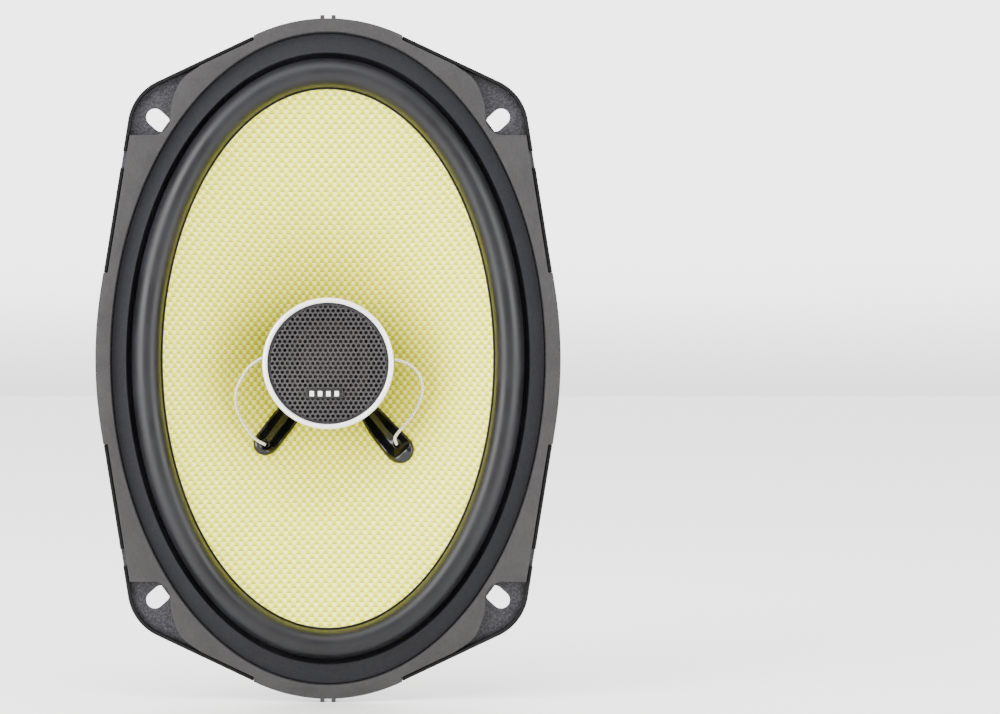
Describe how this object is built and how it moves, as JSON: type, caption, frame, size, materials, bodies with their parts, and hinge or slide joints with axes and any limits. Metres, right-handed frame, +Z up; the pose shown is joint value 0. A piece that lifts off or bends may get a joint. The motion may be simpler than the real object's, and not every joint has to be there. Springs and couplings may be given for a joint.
{
  "type": "coaxial car speaker",
  "caption": "Oval two-way coaxial car speaker with a woven yellow cone, rubber surround, pressed steel basket, ferrite motor and a central post-mounted tweeter under a perforated grille.",
  "frame": {"origin": "centre of the mounting flange's rear face, the plane that bolts to a panel", "axes": "+Z up along the oval's long side, -Y the way the speaker faces, +Y towards the magnet, +X to the right as seen from the front"},
  "size_m": [0.161, 0.0807, 0.2376],
  "materials": {
    "basket_paint": "textured black powder coat on pressed steel",
    "gasket": "flat matte grey-brown moulding",
    "surround_rubber": "satin black butyl rubber",
    "cone_weave": "yellow woven fibre in clear resin, fine plain weave",
    "spider_cloth": "resin-treated corrugated cloth",
    "former": "amber polyimide film",
    "coil_wire": null,
    "glue": "glossy black adhesive",
    "motor_steel": "zinc-plated satin steel",
    "ferrite": null,
    "boot_rubber": "matte black rubber, ribbed",
    "label": "pale champagne metal foil, satin",
    "housing_plastic": "black moulded plastic",
    "bezel_chrome": "bright plated trim ring",
    "grille_mesh": "dark painted perforated steel",
    "badge": "small dark plate, blank",
    "dome_silk": "dark treated silk",
    "neodymium": "nickel-plated magnet",
    "lead_braid": "cream braided sleeve over fine wire",
    "tinsel": "grey braided tinsel wire",
    "terminal_plastic": "black moulded plastic with white polarity signs",
    "terminal_brass": "bright brass",
    "capacitor_film": "amber film capacitor"
  },
  "bodies": {
    "frame": {"basket": "basket_paint", "front_gasket": "gasket", "surround": "surround_rubber", "spider": "spider_cloth", "top_plate": "motor_steel", "ferrite_magnet": "ferrite", "magnet_boot": "boot_rubber", "t_yoke": "motor_steel", "rear_label_disc": "label", "basket_rivet_1": "motor_steel", "basket_rivet_2": "motor_steel", "basket_rivet_3": "motor_steel", "basket_rivet_4": "motor_steel", "post_bolt": "motor_steel", "tweeter_post": "housing_plastic", "tweeter_housing": "housing_plastic", "tweeter_bezel": "bezel_chrome", "tweeter_grille": "grille_mesh", "tweeter_badge": "badge", "tweeter_pole_cup": "motor_steel", "tweeter_magnet": "neodymium", "tweeter_top_plate": "motor_steel", "tweeter_ring": "housing_plastic", "tweeter_capacitor": "capacitor_film", "tweeter_lead_left": "lead_braid", "tweeter_lead_right": "lead_braid", "terminal_block": "terminal_plastic", "terminal_lug_negative": "terminal_brass", "terminal_lug_positive": "terminal_brass", "tinsel_lead_negative": "tinsel", "tinsel_lead_positive": "tinsel"},
    "cone_assembly": {"cone": "cone_weave", "voice_coil_former": "former", "voice_coil_winding": "coil_wire", "glue_bead_left": "glue", "glue_bead_right": "glue"},
    "tweeter_diaphragm": {"tweeter_dome": "dome_silk", "tweeter_coil": "coil_wire"}
  },
  "joints": [
    {"name": "cone_travel", "type": "slide", "parent": "frame", "child": "cone_assembly", "axis": [0, -1, 0], "range_m": [-0.005, 0.005], "stiffness_N_per_m": 3300, "deforming": ["surround", "spider", "tweeter_lead_left", "tweeter_lead_right", "tinsel_lead_negative", "tinsel_lead_positive"]},
    {"name": "tweeter_travel", "type": "slide", "parent": "frame", "child": "tweeter_diaphragm", "axis": [0, -1, 0], "range_m": [-0.0003, 0.0003], "stiffness_N_per_m": 500}
  ]
}
